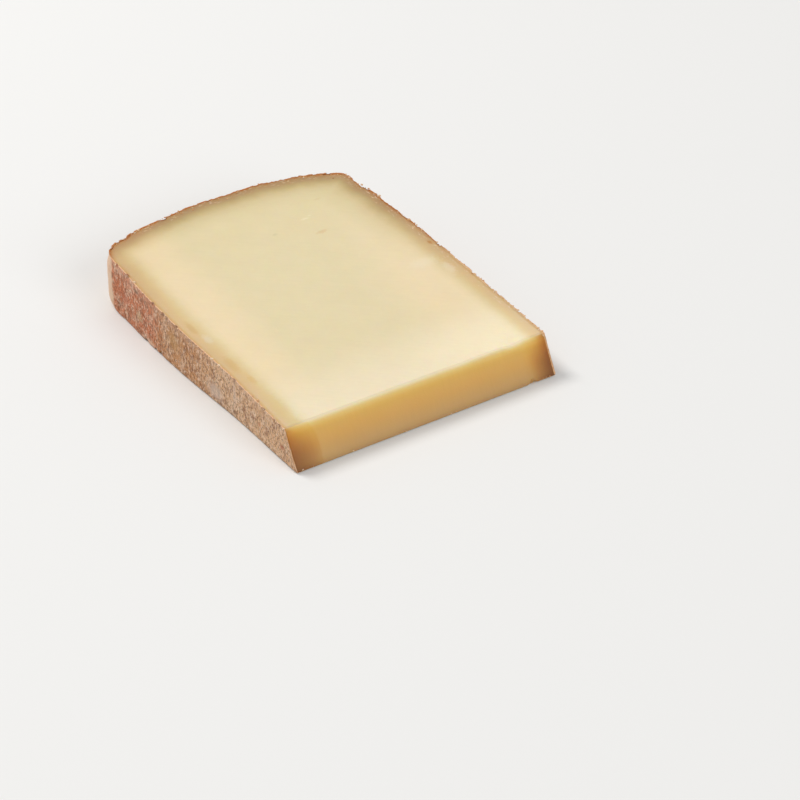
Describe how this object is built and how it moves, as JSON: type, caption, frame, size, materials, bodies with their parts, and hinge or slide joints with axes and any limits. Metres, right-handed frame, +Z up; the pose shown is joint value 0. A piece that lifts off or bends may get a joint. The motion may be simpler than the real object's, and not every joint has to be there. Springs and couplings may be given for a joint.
{
  "type": "comte cheese wedge",
  "caption": "Thin slab of hard mountain cheese cut from a wheel, rind on both sides and the curved heel, tip cut off at a slant.",
  "frame": {"origin": "on the surface the slab lies on, under the middle of its box", "axes": "+Y from the cut tip to the heel, +Z up through the slab's thickness, +X from one side rind to the other"},
  "size_m": [0.103, 0.1334, 0.0212],
  "materials": {
    "paste": "smooth, slightly waxy cut cheese",
    "rind": "dry, mottled, rough rind"
  },
  "bodies": {
    "root": {"cheese_wedge": "paste"}
  },
  "joints": []
}
